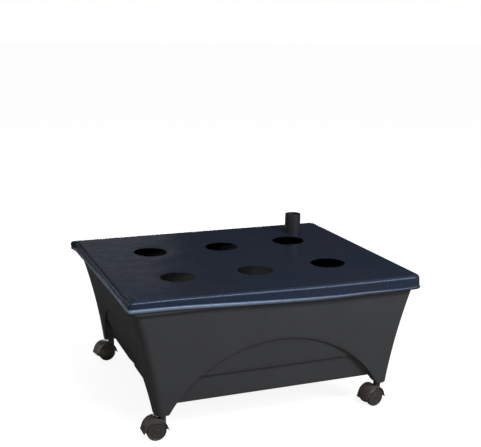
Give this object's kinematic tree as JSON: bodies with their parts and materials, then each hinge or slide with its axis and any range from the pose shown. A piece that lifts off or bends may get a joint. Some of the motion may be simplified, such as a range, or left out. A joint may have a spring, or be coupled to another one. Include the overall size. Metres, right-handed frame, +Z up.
{
  "type": "rolling planter",
  "caption": "Self-watering floor planter: a flared tub with arched sides on twin-wheel casters, a film cover held round its rim, and a perforated screen and fill tube inside.",
  "frame": {"origin": "on the floor under the wheels, below the middle of the tub", "axes": "+X to the right along the front, +Y from front to back, +Z up"},
  "size_m": [0.622, 0.521, 0.336],
  "materials": {
    "tub_plastic": "moulded polypropylene, charcoal, fine matt grain",
    "cover_film": "polyethylene film, dark navy, soft sheen with pull wrinkles",
    "elastic": "woven elastic, near black",
    "screen_plastic": "moulded polypropylene, black",
    "tube_plastic": "extruded plastic pipe, near black, satin",
    "caster_plastic": "moulded nylon, warm black, satin",
    "wheel_plastic": "moulded nylon, warm dark grey, semi-gloss",
    "steel": "bright zinc-plated steel"
  },
  "bodies": {
    "root": {"tub": "tub_plastic", "mulch_cover": "cover_film", "hem_elastic": "elastic", "aeration_screen": "screen_plastic", "front_left_grip_ring": "steel", "front_left_stem": "steel", "front_right_grip_ring": "steel", "front_right_stem": "steel", "back_left_grip_ring": "steel", "back_left_stem": "steel", "back_right_grip_ring": "steel", "back_right_stem": "steel"},
    "fill_tube": {"fill_tube": "tube_plastic"},
    "front_left_caster": {"front_left_hood": "caster_plastic", "front_left_axle": "steel"},
    "front_left_wheel_front": {"front_left_wheel_front": "wheel_plastic"},
    "front_left_wheel_rear": {"front_left_wheel_rear": "wheel_plastic"},
    "front_right_caster": {"front_right_hood": "caster_plastic", "front_right_axle": "steel"},
    "front_right_wheel_front": {"front_right_wheel_front": "wheel_plastic"},
    "front_right_wheel_rear": {"front_right_wheel_rear": "wheel_plastic"},
    "back_left_caster": {"back_left_hood": "caster_plastic", "back_left_axle": "steel"},
    "back_left_wheel_front": {"back_left_wheel_front": "wheel_plastic"},
    "back_left_wheel_rear": {"back_left_wheel_rear": "wheel_plastic"},
    "back_right_caster": {"back_right_hood": "caster_plastic", "back_right_axle": "steel"},
    "back_right_wheel_front": {"back_right_wheel_front": "wheel_plastic"},
    "back_right_wheel_rear": {"back_right_wheel_rear": "wheel_plastic"}
  },
  "joints": [
    {"name": "fill_tube_lift", "type": "slide", "parent": "root", "child": "fill_tube", "axis": [0, 0, 1], "range_m": [0, 0.21]},
    {"name": "front_left_swivel", "type": "hinge", "parent": "root", "child": "front_left_caster", "pos_m": [-0.239, -0.2205, 0.03], "axis": [0, 0, 1], "continuous": true},
    {"name": "front_left_wheel_front_roll", "type": "hinge", "parent": "front_left_caster", "child": "front_left_wheel_front", "pos_m": [-0.254, -0.2205, 0.02], "axis": [0, 1, 0], "continuous": true},
    {"name": "front_left_wheel_rear_roll", "type": "hinge", "parent": "front_left_caster", "child": "front_left_wheel_rear", "pos_m": [-0.254, -0.2205, 0.02], "axis": [0, 1, 0], "continuous": true},
    {"name": "front_right_swivel", "type": "hinge", "parent": "root", "child": "front_right_caster", "pos_m": [0.239, -0.2205, 0.03], "axis": [0, 0, 1], "continuous": true},
    {"name": "front_right_wheel_front_roll", "type": "hinge", "parent": "front_right_caster", "child": "front_right_wheel_front", "pos_m": [0.22433, -0.22362, 0.02], "axis": [-0.2079, 0.9781, 0], "continuous": true},
    {"name": "front_right_wheel_rear_roll", "type": "hinge", "parent": "front_right_caster", "child": "front_right_wheel_rear", "pos_m": [0.22433, -0.22362, 0.02], "axis": [-0.2079, 0.9781, 0], "continuous": true},
    {"name": "back_left_swivel", "type": "hinge", "parent": "root", "child": "back_left_caster", "pos_m": [-0.239, 0.2205, 0.03], "axis": [0, 0, 1], "continuous": true},
    {"name": "back_left_wheel_front_roll", "type": "hinge", "parent": "back_left_caster", "child": "back_left_wheel_front", "pos_m": [-0.25382, 0.21815, 0.02], "axis": [-0.1564, 0.9877, 0], "continuous": true},
    {"name": "back_left_wheel_rear_roll", "type": "hinge", "parent": "back_left_caster", "child": "back_left_wheel_rear", "pos_m": [-0.25382, 0.21815, 0.02], "axis": [-0.1564, 0.9877, 0], "continuous": true},
    {"name": "back_right_swivel", "type": "hinge", "parent": "root", "child": "back_right_caster", "pos_m": [0.239, 0.2205, 0.03], "axis": [0, 0, 1], "continuous": true},
    {"name": "back_right_wheel_front_roll", "type": "hinge", "parent": "back_right_caster", "child": "back_right_wheel_front", "pos_m": [0.22406, 0.21919, 0.02], "axis": [-0.0872, 0.9962, 0], "continuous": true},
    {"name": "back_right_wheel_rear_roll", "type": "hinge", "parent": "back_right_caster", "child": "back_right_wheel_rear", "pos_m": [0.22406, 0.21919, 0.02], "axis": [-0.0872, 0.9962, 0], "continuous": true}
  ]
}
